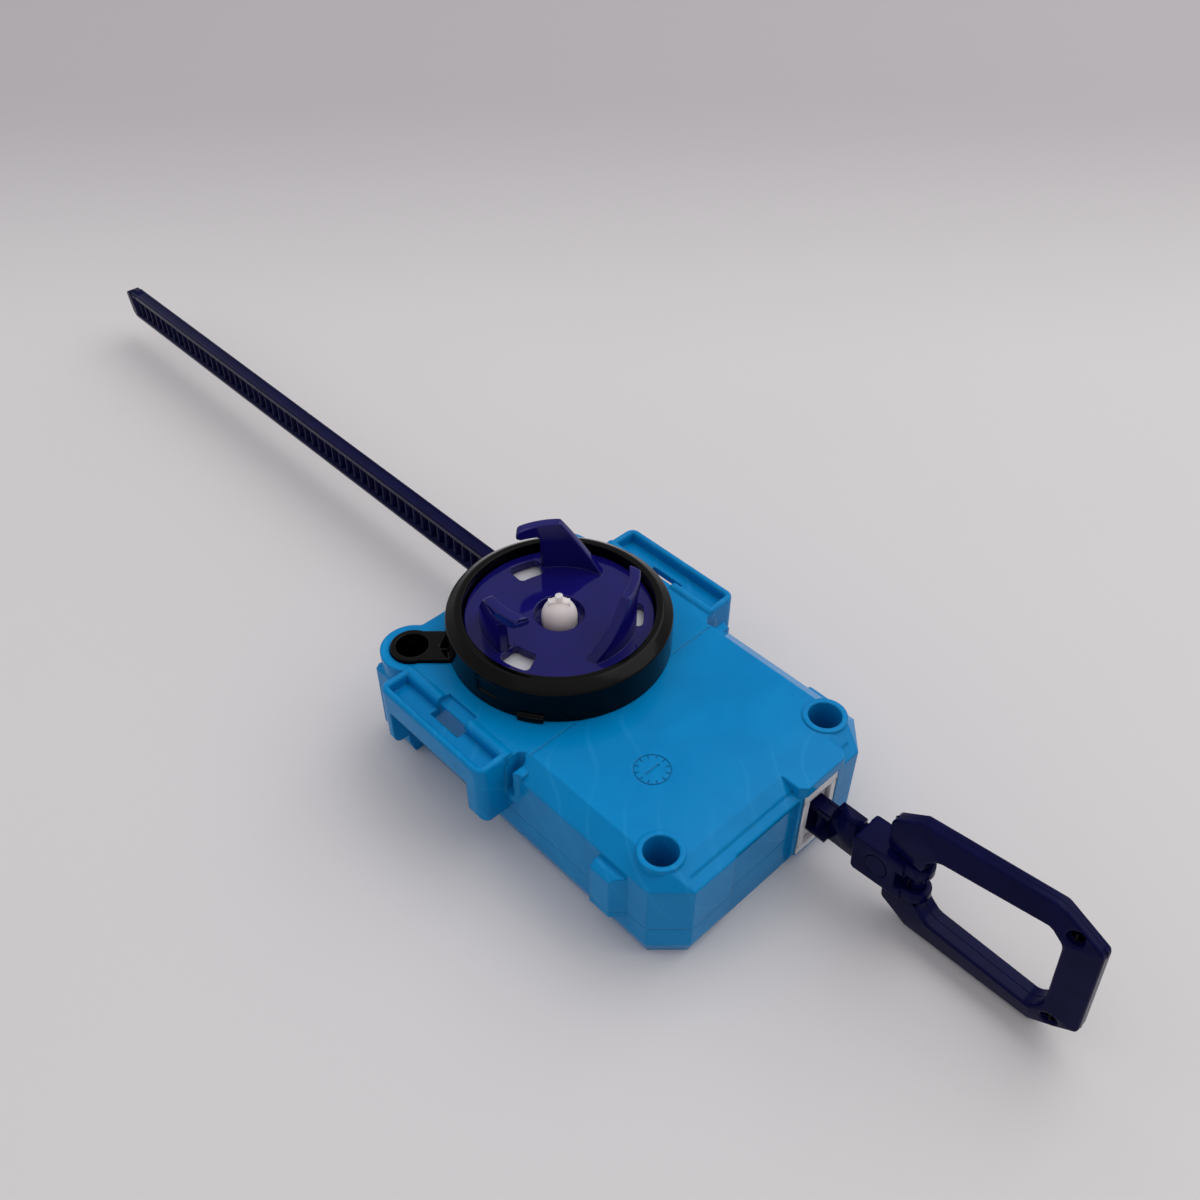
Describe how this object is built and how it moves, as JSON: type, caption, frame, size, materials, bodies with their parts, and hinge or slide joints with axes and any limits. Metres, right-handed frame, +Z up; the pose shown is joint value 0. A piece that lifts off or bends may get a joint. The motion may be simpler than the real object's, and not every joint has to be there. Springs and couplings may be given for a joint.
{
  "type": "spinning top launcher",
  "caption": "Hand-held ripcord launcher for a spinning top: geared housing with a hooked prong disc, a toothed pull strip and a swivelling loop handle.",
  "frame": {"origin": "on the prong disc's spin axis, at the height of the table that the base stands on", "axes": "+X along the strip in the pull direction, towards the handle; +Y towards the strip's side of the housing; +Z up through the prongs"},
  "size_m": [0.3233, 0.0708, 0.0421],
  "materials": {
    "blue_plastic": "glossy moulded cyan blue",
    "black_plastic": "satin moulded black",
    "milky_plastic": "smooth milky nylon",
    "violet_plastic": "glossy moulded violet blue",
    "navy_plastic": "satin to glossy moulded navy",
    "screw_steel": "plated steel",
    "spring_steel": "drawn wire"
  },
  "bodies": {
    "housing": {"deck_shell": "blue_plastic", "base_shell": "blue_plastic", "collar_ring": "black_plastic", "outlet_plate": "milky_plastic", "housing_screw_1": "screw_steel", "housing_screw_2": "screw_steel", "housing_screw_3": "screw_steel", "collar_screw": "screw_steel", "idler_axle": "screw_steel"},
    "rotor": {"prong_disc": "violet_plastic", "ratchet_plate": "milky_plastic", "rotor_gear": "milky_plastic", "plunger_spring": "spring_steel"},
    "idler": {"idler_gear": "milky_plastic"},
    "plunger": {"plunger": "milky_plastic"},
    "cord": {"ripcord": "navy_plastic"},
    "head": {"swivel_head": "navy_plastic", "head_pin": "navy_plastic"},
    "handle": {"handle_front": "navy_plastic", "handle_back": "navy_plastic", "handle_spindle": "navy_plastic", "handle_screw_upper": "screw_steel", "handle_screw_lower": "screw_steel"}
  },
  "joints": [
    {"name": "cord_slide", "type": "slide", "parent": "housing", "child": "cord", "axis": [1, 0, 0], "range_m": [0, 0.2]},
    {"name": "rotor_spin", "type": "hinge", "parent": "housing", "child": "rotor", "pos_m": [0, 0, 0.0236], "axis": [0, 0, 1], "range_deg": [0, 1910.4]},
    {"name": "idler_spin", "type": "hinge", "parent": "housing", "child": "idler", "pos_m": [0.01106, 0.00465, 0.012], "axis": [0, 0, 1], "range_deg": [-1910.4, 0]},
    {"name": "hub_press", "type": "slide", "parent": "rotor", "child": "plunger", "axis": [0, 0, -1], "range_m": [0, 0.0015], "stiffness_N_per_m": 300, "springref_m": -0.003, "deforming": ["plunger_spring"]},
    {"name": "head_pitch", "type": "hinge", "parent": "cord", "child": "head", "pos_m": [0.0755, 0.01225, 0.0136], "axis": [0, -1, 0], "range_deg": [-8, 3]},
    {"name": "handle_swing", "type": "hinge", "parent": "head", "child": "handle", "pos_m": [0.08238, 0.01225, 0.01415], "axis": [-0.0802, 0, 0.9968], "range_deg": [-80, 80]}
  ],
  "couplings": [
    {"joint": "rotor_spin", "follows": "cord_slide", "rad_per_m": 166.67},
    {"joint": "idler_spin", "follows": "cord_slide", "rad_per_m": -166.67}
  ]
}
